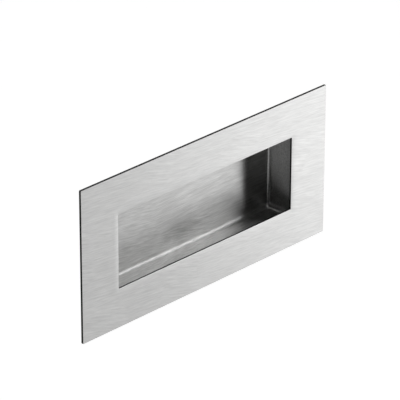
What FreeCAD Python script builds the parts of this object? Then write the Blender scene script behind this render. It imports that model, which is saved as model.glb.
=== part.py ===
"""Rectangular flush pull for a sliding pocket door, in satin stainless steel.

A flat face plate with a sharp rectangular opening lies on the door. A pressed
cup is spot-welded to its back by a flange and sits in a pocket cut into the door.
The cup is larger than the opening, so that each long edge of the opening is a
lip that the fingertips hook behind.

Millimetres. +X runs along the plate, +Z up, and the face looks along -Y. The
origin is the centre of the opening, in the plane of the plate's back, which is
the plane of the door's face.
"""
import FreeCAD, Part
import math
import os

# Face plate
plate_length = 160.0
plate_height = 80.0
plate_sheet = 1.2
plate_corner_radius = 0.4
opening_length = 114.0
opening_height = 39.0
opening_corner_radius = 0.4
edge_break = 0.15

# Pressed cup, radii and depth on its inside
cup_sheet = 1.0
cup_depth = 17.0
end_setback = 3.0
finger_lip = 6.0
cup_corner_radius = 3.0
cup_floor_radius = 2.0
mouth_bend_radius = 1.0
flange_width = 7.0
flange_corner_radius = 5.0

# Spot welds, seen as shallow dents in the flange's back
weld_dent_radius = 2.2
weld_dent_depth = 0.12
weld_pitch = 30.0

# The ball that presses a dent is cut down to a cap this many degrees wider than the dent
cap_margin = 1.0
pole = 90.0
full_turn = 360.0

# Tolerance for picking the edges that lie in a plane or run along an axis
in_plane = 1e-4

# The cup follows the opening, and the flange follows the cup
cup_inner_length = opening_length + 2 * end_setback
cup_inner_height = opening_height + 2 * finger_lip
cup_outer_length = cup_inner_length + 2 * cup_sheet
cup_outer_height = cup_inner_height + 2 * cup_sheet
flange_length = cup_outer_length + 2 * flange_width
flange_height = cup_outer_height + 2 * flange_width


def rounded_block(length, height, y_front, y_back, corner_radius):
    """Block centred on the Y axis, with its four edges along Y rounded."""
    corner = FreeCAD.Vector(-length / 2, y_front, -height / 2)
    block = Part.makeBox(length, y_back - y_front, height, corner)
    along_y = [edge for edge in block.Edges if max(edge.BoundBox.XLength, edge.BoundBox.ZLength) < in_plane]
    return block.makeFillet(corner_radius, along_y)


def rim_edges(solid, y, length, height):
    """Edges in the plane at y that lie on the rim of a length by height outline."""
    found = []
    for edge in solid.Edges:
        box = edge.BoundBox
        flat = abs(box.YMin - y) < in_plane and abs(box.YMax - y) < in_plane
        reach_x = max(abs(box.XMin), abs(box.XMax))
        reach_z = max(abs(box.ZMin), abs(box.ZMax))
        on_end = abs(reach_x - length / 2) < in_plane
        on_side = abs(reach_z - height / 2) < in_plane
        inside = reach_x < length / 2 + in_plane and reach_z < height / 2 + in_plane
        if flat and inside and (on_end or on_side):
            found.append(edge)
    return found


def make_flange():
    """Flat flange of the cup, before the cup's mouth is opened through it."""
    return rounded_block(flange_length, flange_height, 0, cup_sheet, flange_corner_radius)


def mark_weld_seat(plate):
    """Divide the plate's back along the flange's outline, as only the rim outside it meets the door."""
    front_faces = [face for face in make_flange().Faces if abs(face.BoundBox.YMax) < in_plane]
    divided, _ = plate.generalFuse(front_faces)
    return divided.Solids[0]


def make_face_plate():
    """Flat sheet with square corners, and a rectangular opening cut through it."""
    sheet = rounded_block(plate_length, plate_height, -plate_sheet, 0, plate_corner_radius)
    opening = rounded_block(opening_length, opening_height, -plate_sheet, 0, opening_corner_radius)
    plate = sheet.cut(opening)
    front_edges = rim_edges(plate, -plate_sheet, plate_length, plate_height)
    front_edges += rim_edges(plate, -plate_sheet, opening_length, opening_height)
    return mark_weld_seat(plate.makeFillet(edge_break, front_edges))


def make_cup_outside():
    """Flange and the outside of the cup, joined by the outside of the mouth's bend."""
    floor_back = cup_depth + cup_sheet
    wall_radius = cup_corner_radius + cup_sheet
    body = rounded_block(cup_outer_length, cup_outer_height, 0, floor_back, wall_radius)
    body = body.makeFillet(
        cup_floor_radius + cup_sheet,
        rim_edges(body, floor_back, cup_outer_length, cup_outer_height),
    )
    outside = make_flange().fuse(body).removeSplitter()
    bend = rim_edges(outside, cup_sheet, cup_outer_length, cup_outer_height)
    return outside.makeFillet(mouth_bend_radius, bend)


def make_cup_inside():
    """The space inside the cup, with its rounded corners and floor."""
    space = rounded_block(cup_inner_length, cup_inner_height, 0, cup_depth, cup_corner_radius)
    return space.makeFillet(
        cup_floor_radius,
        rim_edges(space, cup_depth, cup_inner_length, cup_inner_height),
    )


def weld_places():
    """Weld centres along the middle of the flange, evenly spaced on each side."""
    from_mouth = (flange_width + mouth_bend_radius) / 2
    line_x = cup_outer_length / 2 + from_mouth
    line_z = cup_outer_height / 2 + from_mouth
    places = []
    gaps_x = max(1, round(2 * line_x / weld_pitch))
    gaps_z = max(1, round(2 * line_z / weld_pitch))
    for step in range(gaps_x):
        x = -line_x + 2 * line_x * (step + 0.5) / gaps_x
        places += [(x, line_z), (x, -line_z)]
    for step in range(gaps_z):
        z = -line_z + 2 * line_z * (step + 0.5) / gaps_z
        places += [(line_x, z), (-line_x, z)]
    return places


def make_recess_cup():
    """Pressed cup of even thickness, with a bent mouth and a welding flange."""
    cup = make_cup_outside().cut(make_cup_inside())
    mouth = rim_edges(cup, 0, cup_inner_length, cup_inner_height)
    cup = cup.makeFillet(mouth_bend_radius + cup_sheet, mouth)
    ball_radius = (weld_dent_radius ** 2 + weld_dent_depth ** 2) / (2 * weld_dent_depth)
    ball_y = cup_sheet - weld_dent_depth + ball_radius
    cap_start = pole - cap_margin - math.degrees(math.asin(weld_dent_radius / ball_radius))
    toward_flange = FreeCAD.Vector(0, -1, 0)
    for x, z in weld_places():
        centre = FreeCAD.Vector(x, ball_y, z)
        cup = cup.cut(Part.makeSphere(ball_radius, centre, toward_flange, cap_start, pole, full_turn))
    return cup


def write_node(name, shape):
    """Report a node's solid and write it as a STEP file named after the node."""
    box = shape.BoundBox
    print(
        f"{name}: {len(shape.Solids)} solid, valid {shape.isValid()}, {shape.Volume:.1f} mm3, "
        f"{box.XLength:.2f} x {box.YLength:.2f} x {box.ZLength:.2f} mm"
    )
    shape.exportStep(f"parts/{name}.step")


os.makedirs("parts", exist_ok=True)
write_node("face_plate", make_face_plate())
write_node("recess_cup", make_recess_cup())
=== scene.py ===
"""Rectangular flush pull for a pocket door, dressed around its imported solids.

Metres. +X runs along the plate, +Z up, and the face looks along -Y.
"""
import math

import bpy
import numpy as np
from mathutils import Matrix, Vector


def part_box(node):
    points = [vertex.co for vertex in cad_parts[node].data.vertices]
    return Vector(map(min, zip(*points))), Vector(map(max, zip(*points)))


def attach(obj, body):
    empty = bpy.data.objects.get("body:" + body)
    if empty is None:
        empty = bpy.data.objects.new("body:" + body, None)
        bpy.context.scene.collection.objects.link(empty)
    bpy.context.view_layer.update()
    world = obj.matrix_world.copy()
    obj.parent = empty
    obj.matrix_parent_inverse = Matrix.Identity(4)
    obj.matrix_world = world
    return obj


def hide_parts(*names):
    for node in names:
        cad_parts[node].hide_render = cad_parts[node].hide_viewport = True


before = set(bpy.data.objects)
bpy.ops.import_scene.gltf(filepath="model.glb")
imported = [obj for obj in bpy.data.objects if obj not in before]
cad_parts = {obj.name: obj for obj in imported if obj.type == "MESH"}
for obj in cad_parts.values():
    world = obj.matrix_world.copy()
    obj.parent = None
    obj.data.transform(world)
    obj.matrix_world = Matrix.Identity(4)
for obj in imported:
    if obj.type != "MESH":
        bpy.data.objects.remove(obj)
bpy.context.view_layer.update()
scene = bpy.context.scene
plate_low, plate_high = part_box("face_plate")
_, cup_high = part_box("recess_cup")


# View: the long lens of a product photograph, from the left and a little above.
# The angles, distance and lens are those that put the corners of the plate and of
# its opening where the photograph has them.
picture_size = 400.0
view_azimuth = math.radians(44.22)
view_elevation = math.radians(27.72)
view_roll = math.radians(0.14)
view_distance = 1.5696
focal_in_pixels = 3321.7
centre_in_picture = (207.1, 212.1)

toward_camera = Vector((
    -math.sin(view_azimuth) * math.cos(view_elevation),
    -math.cos(view_azimuth) * math.cos(view_elevation),
    math.sin(view_elevation),
))
level_right = Vector((math.cos(view_azimuth), -math.sin(view_azimuth), 0.0))
level_up = toward_camera.cross(level_right)
camera_right = math.cos(view_roll) * level_right + math.sin(view_roll) * level_up
camera_up = math.cos(view_roll) * level_up - math.sin(view_roll) * level_right
metres_per_pixel = view_distance / focal_in_pixels
face_centre = Vector((0.0, plate_low.y, 0.0))
camera_place = (
    face_centre
    + toward_camera * view_distance
    - camera_right * (centre_in_picture[0] - picture_size / 2) * metres_per_pixel
    + camera_up * (centre_in_picture[1] - picture_size / 2) * metres_per_pixel
)
lens = bpy.data.cameras.new("product_camera")
lens.sensor_width = 36.0
lens.lens = lens.sensor_width * focal_in_pixels / picture_size
lens.clip_start = 0.05
lens.clip_end = 20.0
camera = bpy.data.objects.new("product_camera", lens)
scene.collection.objects.link(camera)
axes = Matrix((camera_right, camera_up, toward_camera)).transposed().to_4x4()
camera.matrix_world = Matrix.Translation(camera_place) @ axes
scene.camera = camera


# Face plate: one flat sheet of satin stainless steel with a sharp rectangular opening.
# The opening is pierced in a press, which rolls its front edge over a little. The edges
# are then just broken, and the face is ground with a belt along its length.
opening_half_length = 0.0570
opening_half_height = 0.0195
opening_corner = 0.0004
plate_corner = 0.0004
edge_break = 0.00015
roll_width = 0.0033
roll_angle = 0.09

# How a surface faces, as the lean of its normal from the outline's outward normal towards the front
facing_front = math.pi / 2
facing_outward = 0.0
facing_back = -math.pi / 2
facing_inward = math.pi


def rounded_outline(half_length, half_height, radius, arc_steps, long_steps, short_steps):
    """Points and outward normals round a rounded rectangle in XZ, anticlockwise as seen from the front.

    Each corner is a quarter circle about the point one radius in from both sides, and
    each side a straight run divided evenly. Outlines with the same steps match point
    for point, whatever their size.
    """
    centres = np.array([[1, 1], [-1, 1], [-1, -1], [1, -1]]) * [half_length - radius, half_height - radius]
    points, normals = [], []
    for corner in range(4):
        angle = np.linspace(0.0, math.pi / 2, arc_steps + 1) + corner * math.pi / 2
        normal = np.stack([np.cos(angle), np.sin(angle)], axis=1)
        arc = centres[corner] + radius * normal
        steps = short_steps if corner % 2 else long_steps
        share = np.linspace(0.0, 1.0, steps + 1)[1:-1, None]
        run = arc[-1] * (1 - share) + (centres[(corner + 1) % 4] + radius * normal[-1]) * share
        points += [arc, run]
        normals += [normal, np.repeat(normal[-1:], len(run), axis=0)]
    return np.concatenate(points), np.concatenate(normals)


def station(size, y, lean, next_lean, steps):
    """One ring of a carried profile: its points, and its normals on the bands before and after it.

    The normal is the outline's own normal times the cosine of the lean, less Y times
    its sine. Where the two leans differ the surface has a sharp edge.
    """
    outline, normal = rounded_outline(*size, *steps)
    points = np.stack([outline[:, 0], np.full(len(outline), y), outline[:, 1]], axis=1)

    def leaning(angle):
        return np.stack([
            normal[:, 0] * math.cos(angle),
            np.full(len(normal), -math.sin(angle)),
            normal[:, 1] * math.cos(angle),
        ], axis=1)

    return points, leaning(lean), leaning(next_lean)


def grown(size, offset):
    """Size of the outline that runs outside another one at an even distance."""
    return size[0] + offset, size[1] + offset, size[2] + offset


def bend(size, centre_offset, centre_y, radius, leans, hollow, steps):
    """Stations round a bend of even radius, as the lean turns from the first value to the last.

    The point lies one radius from the bend's centre, along the normal on an outer
    corner, and against it in a hollow.
    """
    side = -1.0 if hollow else 1.0
    return [
        station(
            grown(size, centre_offset + side * radius * math.cos(lean)),
            centre_y - side * radius * math.sin(lean),
            lean, lean, steps,
        )
        for lean in leans
    ]


def carried_surface(stations, closed):
    """Vertices, faces and corner normals of the bands that join each station's ring to the next."""
    ring = len(stations[0][0])
    here = np.arange(ring)
    ahead = np.roll(here, -1)
    faces, normals = [], []
    for k in range(len(stations) if closed else len(stations) - 1):
        following = (k + 1) % len(stations)
        near, far = k * ring, following * ring
        faces.append(np.stack([near + here, far + here, far + ahead, near + ahead], axis=1))
        start, end = stations[k][2], stations[following][1]
        normals.append(np.stack([start, end, end[ahead], start[ahead]], axis=1).reshape(-1, 3))
    return np.concatenate([s[0] for s in stations]), np.concatenate(faces), np.concatenate(normals)


def mesh_piece(name, vertices, faces, normals, materials, band_materials):
    """Mesh object at the origin, with its own corner normals and a material for each face."""
    mesh = bpy.data.meshes.new(name)
    mesh.from_pydata(vertices.tolist(), [], faces)
    mesh.polygons.foreach_set("use_smooth", np.ones(len(mesh.polygons), dtype=bool))
    for material in materials:
        mesh.materials.append(material)
    mesh.polygons.foreach_set("material_index", band_materials)
    mesh.normals_split_custom_set(normals)
    mesh.update()
    piece = bpy.data.objects.new(name, mesh)
    scene.collection.objects.link(piece)
    return piece


class Nodes:
    """Short way to write the nodes of a material or world: each call adds one and links its inputs."""

    def __init__(self, owner):
        owner.use_nodes = True
        self.tree = owner.node_tree
        self.tree.nodes.clear()

    def add(self, kind, inputs=None, **settings):
        """New node with its settings, and its inputs as values or as other nodes' outputs."""
        node = self.tree.nodes.new(kind)
        for key, value in settings.items():
            setattr(node, key, value)
        for key, value in (inputs or {}).items():
            if isinstance(value, bpy.types.NodeSocket):
                self.tree.links.new(value, node.inputs[key])
            else:
                node.inputs[key].default_value = value
        return node

    def noise(self, vector, stretch, detail, roughness=0.5):
        """Noise on a vector whose three axes are scaled apart, which draws it out into lines."""
        scaled = self.add("ShaderNodeMapping", {"Vector": vector, "Scale": stretch})
        node = self.add("ShaderNodeTexNoise", {
            "Vector": scaled.outputs["Vector"], "Scale": 1.0, "Detail": detail, "Roughness": roughness,
        })
        return node.outputs["Fac"]

    def turned(self, vector, angle):
        """A place turned about the Y axis."""
        node = self.add("ShaderNodeMapping", {"Vector": vector, "Rotation": (0.0, angle, 0.0)})
        return node.outputs["Vector"]

    def colours(self, factor, stops):
        """Colour read from stops of place and colour."""
        node = self.add("ShaderNodeValToRGB", {"Fac": factor})
        elements = node.color_ramp.elements
        while len(elements) < len(stops):
            elements.new(0.5)
        for element, (stop, colour) in zip(elements, stops):
            element.position = stop
            element.color = (*colour, 1.0)
        return node.outputs["Color"]

    def blend(self, first, second):
        """Two colours multiplied."""
        mix = self.add("ShaderNodeMix", {6: first, 7: second}, data_type="RGBA", blend_type="MULTIPLY")
        mix.inputs[0].default_value = 1.0
        return mix.outputs[2]

    def maths(self, operation, *values):
        """One arithmetic step on numbers or outputs."""
        node = self.add("ShaderNodeMath", operation=operation)
        for slot, value in enumerate(values):
            if isinstance(value, bpy.types.NodeSocket):
                self.tree.links.new(value, node.inputs[slot])
            else:
                node.inputs[slot].default_value = value
        return node.outputs[0]

    def swing(self, noise, reach, middle):
        """A noise, which swings round a half, made to swing by a reach round another middle."""
        return self.maths("MULTIPLY_ADD", self.maths("SUBTRACT", noise, 0.5), reach, middle)

    def between(self, value, limits, results, smooth=False):
        """Two results blended by where a value lies between two limits, and held beyond them."""
        node = self.add("ShaderNodeMapRange", {
            "Value": value, "From Min": limits[0], "From Max": limits[1],
            "To Min": results[0], "To Max": results[1],
        }, interpolation_type="SMOOTHSTEP" if smooth else "LINEAR")
        return node.outputs["Result"]

    def vectors(self, operation, *values):
        """Outputs of one step on vectors."""
        return self.add("ShaderNodeVectorMath", dict(enumerate(values)), operation=operation).outputs

    def finish(self, **inputs):
        """Principled shader with these inputs, on the output."""
        shader = self.add("ShaderNodeBsdfPrincipled", {k.replace("_", " "): v for k, v in inputs.items()})
        self.add("ShaderNodeOutputMaterial", {"Surface": shader.outputs["BSDF"]})


def tint(nodes, level, colour):
    """A colour scaled by a grey level."""
    return nodes.blend(level, (*colour, 1.0))


def ground_steel(name, colour, contrast, cloudiness, lay, stroke_angle, painted_shade_patch):
    """Belt-ground stainless steel: fine broken lines, a cloudy sheen, and a gloss spread across the lines.

    The lines are laid at one angle, and in some patches at another, where the sheet was
    touched up by hand. A painted shade patch is a darker place painted into the colour, which
    stands in for a dimmer reflection, with its X, Z, reach in X, reach in Z and depth. Walls
    that face along the lines are duller, because drawing has stretched them, and their gloss
    is spread along their depth.
    """
    material = bpy.data.materials.new(name)
    n = Nodes(material)
    place = n.add("ShaderNodeTexCoord").outputs["Object"]
    laid = n.turned(place, lay)
    short = n.noise(laid, (130.0, 1500.0, 1500.0), 3.0, 0.6)
    long = n.noise(laid, (22.0, 2600.0, 2600.0), 2.0)
    stroke = n.noise(n.turned(place, stroke_angle), (110.0, 1300.0, 1300.0), 3.0, 0.6)
    cloud = n.noise(place, (26.0, 40.0, 50.0), 2.0)
    patch = n.noise(place, (30.0, 30.0, 42.0), 1.0)
    touched = n.between(patch, (0.53, 0.57), (0.0, 1.0))
    straight = n.maths("ADD", n.maths("MULTIPLY", short, 0.62), n.maths("MULTIPLY", long, 0.38))
    stroke = n.swing(stroke, 0.8, 0.5)
    lines = n.maths("MULTIPLY_ADD", n.maths("SUBTRACT", stroke, straight), touched, straight)
    level = n.swing(cloud, cloudiness, n.swing(lines, contrast, 1.0))
    # Painted shade: a darker patch in the colour, which stands in for a dimmer reflection on the cup floor
    if painted_shade_patch:
        x, z, reach_x, reach_z, depth = painted_shade_patch
        shaded_spot = n.add("ShaderNodeMapping", {
            "Vector": place, "Location": (-x / reach_x, 0.0, -z / reach_z),
            "Scale": (1.0 / reach_x, 0.0, 1.0 / reach_z),
        })
        away = n.vectors("LENGTH", shaded_spot.outputs["Vector"])["Value"]
        ragged = n.swing(stroke, 1.5, away)
        level = n.maths("MULTIPLY", level, n.between(ragged, (0.0, 1.0), (1.0 - depth, 1.0), smooth=True))

    facing = n.add("ShaderNodeNewGeometry").outputs["Normal"]
    along_lines = n.maths("ABSOLUTE", n.add("ShaderNodeSeparateXYZ", {"Vector": facing}).outputs["X"])
    end_wall = n.maths("POWER", along_lines, 8.0)
    # The gloss keeps above 0.28, under which the filter for the picture's noise smears the lines
    gloss = n.maths("MULTIPLY_ADD", end_wall, 0.24, n.swing(cloud, 0.05, 0.295))
    across = n.vectors("CROSS_PRODUCT", facing, (1.0, 0.0, 0.0))["Vector"]
    deep = n.add("ShaderNodeCombineXYZ", {"Y": n.maths("MULTIPLY", end_wall, 2.0), "Z": 0.001})
    spread = n.vectors("ADD", across, deep.outputs["Vector"])["Vector"]
    height = n.add("ShaderNodeBump", {"Strength": 0.3, "Distance": 0.00004, "Height": lines})
    n.finish(
        Base_Color=tint(n, level, colour), Metallic=1.0, Roughness=gloss, Anisotropic=1.0,
        Normal=height.outputs["Normal"], Tangent=spread,
    )
    return material


def cut_steel(name, colour):
    """Sheared edge: dull, in the grey it is given, with fine ridges across the sheet."""
    material = bpy.data.materials.new(name)
    n = Nodes(material)
    place = n.add("ShaderNodeTexCoord").outputs["Object"]
    ridges = n.noise(place, (4000.0, 300.0, 4000.0), 2.0)
    scale = n.noise(place, (300.0, 300.0, 300.0), 3.0)
    ridged = n.maths("MULTIPLY_ADD", ridges, 0.5, 0.75)
    level = n.maths("MULTIPLY", ridged, n.maths("MULTIPLY_ADD", scale, 1.2, 0.4))
    height = n.add("ShaderNodeBump", {"Strength": 0.3, "Distance": 0.00003, "Height": ridges})
    n.finish(
        Base_Color=tint(n, level, colour), Metallic=1.0, Roughness=0.45, Normal=height.outputs["Normal"],
    )
    return material


def mill_steel(name, colour, welded):
    """Plain rolled sheet as delivered: dull, with faint rolling lines and handling marks.

    Where it is welded, the weld_heat attribute colours it through straw and brown to
    blue, with a clean grey spot under the electrode.
    """
    material = bpy.data.materials.new(name)
    n = Nodes(material)
    place = n.add("ShaderNodeTexCoord").outputs["Object"]
    rolled = n.noise(place, (60.0, 900.0, 1400.0), 2.0)
    cloud = n.noise(place, (40.0, 40.0, 40.0), 3.0)
    marks = n.noise(place, (220.0, 220.0, 220.0), 4.0, 0.6)
    level = n.maths("MULTIPLY_ADD", rolled, 0.16, n.maths("MULTIPLY_ADD", cloud, 0.2, 0.82))
    gloss = n.maths("MULTIPLY_ADD", marks, 0.14, n.maths("MULTIPLY_ADD", cloud, 0.16, 0.27))
    shade = tint(n, level, colour)
    if welded:
        heat = n.add("ShaderNodeAttribute", attribute_name="weld_heat").outputs["Fac"]
        clean, straw, brown = (1.0, 1.0, 1.0), (0.86, 0.66, 0.36), (0.46, 0.25, 0.20)
        blue, pale_blue, spot_grey = (0.24, 0.27, 0.42), (0.50, 0.56, 0.62), (0.88, 0.88, 0.88)
        shade = n.blend(shade, n.colours(heat, [
            (0.0, clean), (0.12, (1.0, 0.97, 0.90)), (0.30, straw), (0.44, brown),
            (0.55, blue), (0.66, pale_blue), (0.80, spot_grey), (1.0, (0.95, 0.95, 0.95)),
        ]))
    height = n.add("ShaderNodeBump", {"Strength": 0.2, "Distance": 0.00003, "Height": rolled})
    n.finish(Base_Color=shade, Metallic=1.0, Roughness=gloss, Normal=height.outputs["Normal"])
    return material


steel_face = ground_steel("satin_steel_face", (0.66, 0.66, 0.655), 0.65, 0.12, -0.10, -0.28, None)
# The cut edges' near-black grey is partly the sheared steel's own dull oxide and partly painted shade, which
# makes them read as dark lines round the plate and its opening
steel_cut_shaded = cut_steel("sheared_edge_shaded", (0.06, 0.06, 0.06))
steel_mill = mill_steel("mill_finish_back", (0.60, 0.60, 0.595), welded=False)

plate_steps = (6, 60, 30)
round_steps = 5
roll_steps = 8
plate_size = (plate_high.x, plate_high.z, plate_corner)
opening_size = (opening_half_length, opening_half_height, opening_corner)
roll_depth = roll_width * roll_angle / 2


def rolled_edge():
    """Rings of the face round the opening, from its edge to the flat, as the lean falls evenly to nought.

    The depth is then a parabola: half the width times the angle, times the square of
    the share of the way that is left.
    """
    return [
        station(
            grown(opening_size, edge_break + (1 - left) * (roll_width - edge_break)),
            plate_low.y + roll_depth * left ** 2,
            facing_front + roll_angle * left, facing_front + roll_angle * left, plate_steps,
        )
        for left in np.linspace(1.0, 0.0, roll_steps + 1)[1:]
    ]


front_stations = (
    bend(opening_size, edge_break, plate_low.y + roll_depth + edge_break, edge_break,
         np.linspace(facing_inward, facing_front + roll_angle, round_steps), False, plate_steps)
    + rolled_edge()
    + bend(plate_size, -edge_break, plate_low.y + edge_break, edge_break,
           np.linspace(facing_front, facing_outward, round_steps), False, plate_steps)
)
plate_stations = front_stations + [
    station(plate_size, plate_high.y, facing_outward, facing_back, plate_steps),
    station(opening_size, plate_high.y, facing_back, facing_inward, plate_steps),
]
vertices, faces, normals = carried_surface(plate_stations, closed=True)
# The face ends with the first band of the outer bend, and the rest of the bend is cut steel
outer_bend = len(front_stations) - round_steps
front_slot, cut_slot, back_slot = 0, 1, 2
bands = np.full(len(plate_stations), cut_slot)
bands[:outer_bend + 1] = front_slot
bands[len(front_stations)] = back_slot
ring_size = len(plate_stations[0][0])
plate = mesh_piece(
    "satin_face_plate", vertices, faces.tolist(), normals,
    [steel_face, steel_cut_shaded, steel_mill], np.repeat(bands, ring_size),
)
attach(plate, "root")
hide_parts("face_plate")


# Recess cup: pressed from 1 mm stainless sheet with rounded inside corners and floor.
# Its mouth is bent out into a flange, which is spot-welded to the back of the plate.
# The sheet is ground on the inside before pressing, and left as rolled on the outside.
cup_sheet = 0.0010
cup_floor_y = cup_high.y - cup_sheet
end_setback = 0.0030
finger_lip = 0.0060
cup_corner = 0.0030
floor_radius = 0.0020
mouth_radius = 0.0010
flange_corner = 0.0050
weld_radius = 0.0022
weld_depth = 0.00012
weld_pitch = 0.030
heat_reach = 0.0030

cup_size = (opening_half_length + end_setback, opening_half_height + finger_lip, cup_corner)
flange_size = (cup_high.x, cup_high.z, flange_corner)
cup_steps = (12, 240, 100)
bend_steps = 13
flange_rings = 18
mouth_inside = mouth_radius + cup_sheet


def joined(*groups):
    """One list of stations from several, in order."""
    return [s for group in groups for s in group]


def flat_rings(outer, inner, y, count, lean, steps):
    """Evenly spaced stations between two outlines on one plane, both ends left out."""
    shares = np.linspace(0.0, 1.0, count + 2)[1:-1]
    return [
        station(tuple(a * (1 - s) + b * s for a, b in zip(outer, inner)), y, lean, lean, steps)
        for s in shares
    ]


def weld_places():
    """Weld centres in X and Z along the middle of the flange, evenly spaced on each side."""
    from_mouth = (cup_high.x - cup_size[0] - cup_sheet + mouth_radius) / 2
    line_x = cup_size[0] + cup_sheet + from_mouth
    line_z = cup_size[1] + cup_sheet + from_mouth
    count_x = round(2 * line_x / weld_pitch)
    count_z = round(2 * line_z / weld_pitch)
    along_x = line_x * (2 * (np.arange(count_x) + 0.5) / count_x - 1)
    along_z = line_z * (2 * (np.arange(count_z) + 0.5) / count_z - 1)
    sides = [np.column_stack([along_x, np.full(count_x, z)]) for z in (line_z, -line_z)]
    ends = [np.column_stack([np.full(count_z, x), along_z]) for x in (line_x, -line_x)]
    return np.concatenate(sides + ends)


def press_dents(vertices, faces, normals):
    """Weld dents pressed into the flange's back, changed in place. Returns each vertex's heat from the weld.

    Each dent is the cap of a ball: inside its radius a point lies on the ball, and the
    normal looks at the ball's centre. The heat falls off with the square of the distance.
    """
    ball = (weld_radius ** 2 + weld_depth ** 2) / (2 * weld_depth)
    places = weld_places()
    offset = vertices[:, None, [0, 2]] - places[None]
    distance = np.hypot(offset[..., 0], offset[..., 1])
    nearest = distance.argmin(axis=1)
    distance = distance.min(axis=1)
    same_plane = 1e-6
    on_back = np.abs(vertices[:, 1] - cup_sheet) < same_plane
    pressed = on_back & (distance < weld_radius)
    vertices[pressed, 1] = cup_sheet - weld_depth + ball - np.sqrt(ball ** 2 - distance[pressed] ** 2)
    corner = faces.reshape(-1)
    faces_back = normals[:, 1] > 0.9
    turned = pressed[corner] & faces_back
    centre = np.insert(places[nearest], 1, cup_sheet - weld_depth + ball, axis=1)
    normals[turned] = (centre[corner[turned]] - vertices[corner[turned]]) / ball
    return np.where(on_back, np.exp(-(distance / heat_reach) ** 2), 0.0)


cup_stations = joined(
    bend(cup_size, -floor_radius, cup_floor_y - floor_radius, floor_radius,
         np.linspace(facing_front, facing_inward, bend_steps), True, cup_steps),
    bend(cup_size, mouth_inside, mouth_inside, mouth_inside,
         np.linspace(facing_inward, facing_front, bend_steps), False, cup_steps),
    [station(flange_size, 0.0, facing_front, facing_outward, cup_steps),
     station(flange_size, cup_sheet, facing_outward, facing_back, cup_steps)],
    flat_rings(flange_size, grown(cup_size, mouth_inside), cup_sheet, flange_rings, facing_back, cup_steps),
    bend(cup_size, mouth_inside, mouth_inside, mouth_radius,
         np.linspace(facing_back, facing_outward, bend_steps), True, cup_steps),
    bend(cup_size, -floor_radius, cup_floor_y - floor_radius, floor_radius + cup_sheet,
         np.linspace(facing_outward, facing_back, bend_steps), False, cup_steps),
)
vertices, faces, normals = carried_surface(cup_stations, closed=False)
ring_size = len(cup_stations[0][0])
first_ring = np.arange(ring_size)
last_ring = first_ring + (len(cup_stations) - 1) * ring_size
heat = press_dents(vertices, faces, normals)
faces = faces.tolist() + [first_ring.tolist(), last_ring[::-1].tolist()]
normals = np.concatenate([
    normals,
    np.repeat([[0.0, -1.0, 0.0]], ring_size, axis=0),
    np.repeat([[0.0, 1.0, 0.0]], ring_size, axis=0),
])
# Painted shade: the cup's steel is given a darker grey than the face's, which darkens the hollow of the
# recess
steel_cup = ground_steel(
    # The last value is a painted shade patch: a darker place low on the cup floor
    "satin_steel_cup_shaded", (0.58, 0.58, 0.575), 1.20, 0.30, 0.01, -0.14, (0.0015, -0.0165, 0.018, 0.008, 0.25),
)
steel_cup_back = mill_steel("mill_finish_cup", (0.60, 0.60, 0.595), welded=True)
inside_bands = 2 * bend_steps
bands = np.where(np.arange(len(cup_stations) - 1) < inside_bands, 0, 1)
cup_materials = np.concatenate([np.repeat(bands, ring_size), [0, 1]])
cup = mesh_piece("pressed_recess_cup", vertices, faces, normals, [steel_cup, steel_cup_back], cup_materials)
cup.data.attributes.new("weld_heat", "FLOAT", "POINT").data.foreach_set("value", heat)
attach(cup, "root")
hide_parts("recess_cup")


# Stage: a white room with a pale floor well below the pull, and a lamp for its shadow.
# The metal is lit by a tent of cloth round the pull, which shows only in reflections: it
# glows at the right and low in front, and black cloth covers its upper left.
floor_drop = 0.30
tent_radius = 0.40
right_glow, high_lamp_glow, front_glow, foot_strip_glow = 1.40, 2.20, 0.65, 0.46
far_left_glow, low_left_glow, back_glow = 0.50, 0.43, 0.95


def light_for_sight(nodes):
    """One for camera, glossy and transmission rays, and nought for the rays that light the object."""
    path = nodes.add("ShaderNodeLightPath").outputs
    seen = nodes.maths("MAXIMUM", path["Is Camera Ray"], path["Is Glossy Ray"])
    return nodes.maths("MAXIMUM", seen, path["Is Transmission Ray"])


def pale_ground(name, colour, lift):
    """Matt floor that keeps shadows, lifted to white where it is seen or mirrored."""
    material = bpy.data.materials.new(name)
    n = Nodes(material)
    shader = n.add("ShaderNodeBsdfPrincipled", {
        "Base Color": (*colour, 1.0), "Roughness": 0.9, "Emission Color": (1.0, 1.0, 1.0, 1.0),
        "Emission Strength": n.maths("MULTIPLY", light_for_sight(n), lift),
    })
    n.add("ShaderNodeOutputMaterial", {"Surface": shader.outputs["BSDF"]})
    return material


def edge(value, place, softness):
    """Smooth step from nought to one: the logistic curve round a place."""
    return 1.0 / (1.0 + np.exp(-(value - place) / softness))


def spot(value, place, width):
    """Bell curve round a place."""
    return np.exp(-((value - place) / width) ** 2)


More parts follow.
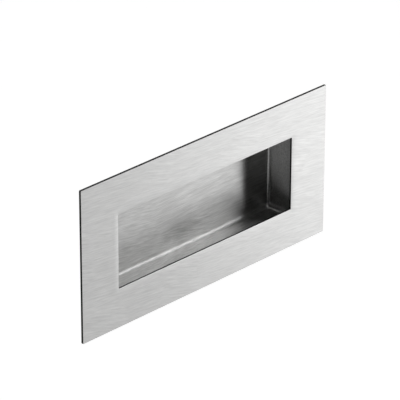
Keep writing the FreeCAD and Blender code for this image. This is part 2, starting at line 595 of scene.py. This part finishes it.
def tent_glow(azimuth, elevation):
    """Brightness of the tent in each direction, in degrees right of the front and above the level.

    The right side is bright, and dimmer low down, with a bell-shaped lamp high on it.
    The front and the far left are even. Between them black cloth hangs down to a grey
    part low on the left, and a strip of light lies along the front's foot. The back is
    even, with two black cards that the cut edges mirror.
    """
    right = edge(azimuth, 41.0, 4.0)
    front = edge(azimuth, -8.0, 1.0)
    far_left = 1.0 - edge(azimuth, -78.0, 2.5)
    glow = right_glow * right * (0.30 + 0.70 * edge(elevation, -36.0, 2.0))
    glow += high_lamp_glow * spot(azimuth, 60.0, 12.2) * spot(elevation, 53.0, 18.0)
    glow += front_glow * front * (1.0 - right) + far_left_glow * far_left
    glow += low_left_glow * (1.0 - front) * (1.0 - far_left) * (1.0 - edge(elevation, -18.3, 1.0))
    strip = edge(azimuth, -33.0, 2.0) * (1.0 - right)
    glow += foot_strip_glow * strip * edge(elevation, -20.0, 3.0) * (1.0 - edge(elevation, -2.0, 2.0))
    back = edge(np.abs(azimuth), 122.0, 4.0)
    glow = glow * (1.0 - back) + back_glow * back
    glow *= 1.0 - spot(azimuth, 136.0, 36.0) * spot(elevation, 28.0, 32.0)
    glow *= 1.0 - spot(azimuth, -136.0, 34.0) * spot(elevation, -28.0, 30.0)
    return np.maximum(glow, 0.0)


def stage_mesh(name, vertices, faces, material):
    """Mesh object with one material, linked to the scene."""
    mesh = bpy.data.meshes.new(name)
    mesh.from_pydata(vertices.tolist(), [], faces.tolist())
    mesh.materials.append(material)
    backdrop = bpy.data.objects.new(name, mesh)
    scene.collection.objects.link(backdrop)
    return backdrop


floor_z = plate_low.z - floor_drop
floor_half = 6.0
floor_corners = np.array([[-1, -1], [1, -1], [1, 1], [-1, 1]]) * floor_half
floor_points = np.column_stack([floor_corners, np.full(4, floor_z)])
pale_floor = pale_ground("pale_floor", (0.8, 0.8, 0.8), 0.50)
stage_mesh("floor", floor_points, np.array([[0, 1, 2, 3]]), pale_floor)

# The tent is a ball of squares, five degrees to a side, that holds its brightness at its corners
azimuth_steps, elevation_steps = 72, 36
azimuth, elevation = np.meshgrid(
    np.linspace(-180.0, 180.0, azimuth_steps + 1),
    np.linspace(-90.0, 90.0, elevation_steps + 1),
    indexing="ij",
)
across, up = np.radians(azimuth), np.radians(elevation)
tent_points = tent_radius * np.stack([
    np.sin(across) * np.cos(up), -np.cos(across) * np.cos(up), np.sin(up),
], axis=-1).reshape(-1, 3)
row = elevation_steps + 1
first = (np.arange(azimuth_steps)[:, None] * row + np.arange(elevation_steps)[None, :]).reshape(-1, 1)
cloth = bpy.data.materials.new("tent_cloth")
weave = Nodes(cloth)
glow = weave.add("ShaderNodeAttribute", attribute_name="glow")
shine = weave.add("ShaderNodeEmission", {"Strength": glow.outputs["Fac"]})
weave.add("ShaderNodeOutputMaterial", {"Surface": shine.outputs["Emission"]})
tent = stage_mesh("light_tent", tent_points, first + np.array([[0, row, row + 1, 1]]), cloth)
brightness = tent_glow(azimuth, elevation).astype(np.float32)
tent.data.attributes.new("glow", "FLOAT", "POINT").data.foreach_set("value", brightness.reshape(-1))
tent.visible_camera = False
tent.visible_diffuse = False
tent.visible_shadow = False

soft_lamp = bpy.data.lights.new("soft_lamp", "AREA")
soft_lamp.shape = "RECTANGLE"
soft_lamp.size = 0.3
soft_lamp.size_y = 0.3
soft_lamp.energy = 0.6
lamp = bpy.data.objects.new("soft_lamp", soft_lamp)
scene.collection.objects.link(lamp)
lamp_place = Vector((0.43, -0.33, 0.45))
lamp_turn = (-lamp_place).to_track_quat("-Z", "Y").to_matrix().to_4x4()
lamp.matrix_world = Matrix.Translation(lamp_place) @ lamp_turn
lamp.visible_glossy = False

room = bpy.data.worlds.new("white_room")
scene.world = room
sky = Nodes(room)
strength = sky.between(light_for_sight(sky), (0.0, 1.0), (0.6, 1.0))
background = sky.add("ShaderNodeBackground", {"Color": (1.0, 1.0, 1.0, 1.0), "Strength": strength})
sky.add("ShaderNodeOutputWorld", {"Surface": background.outputs["Background"]})

scene.view_settings.view_transform = "Standard"
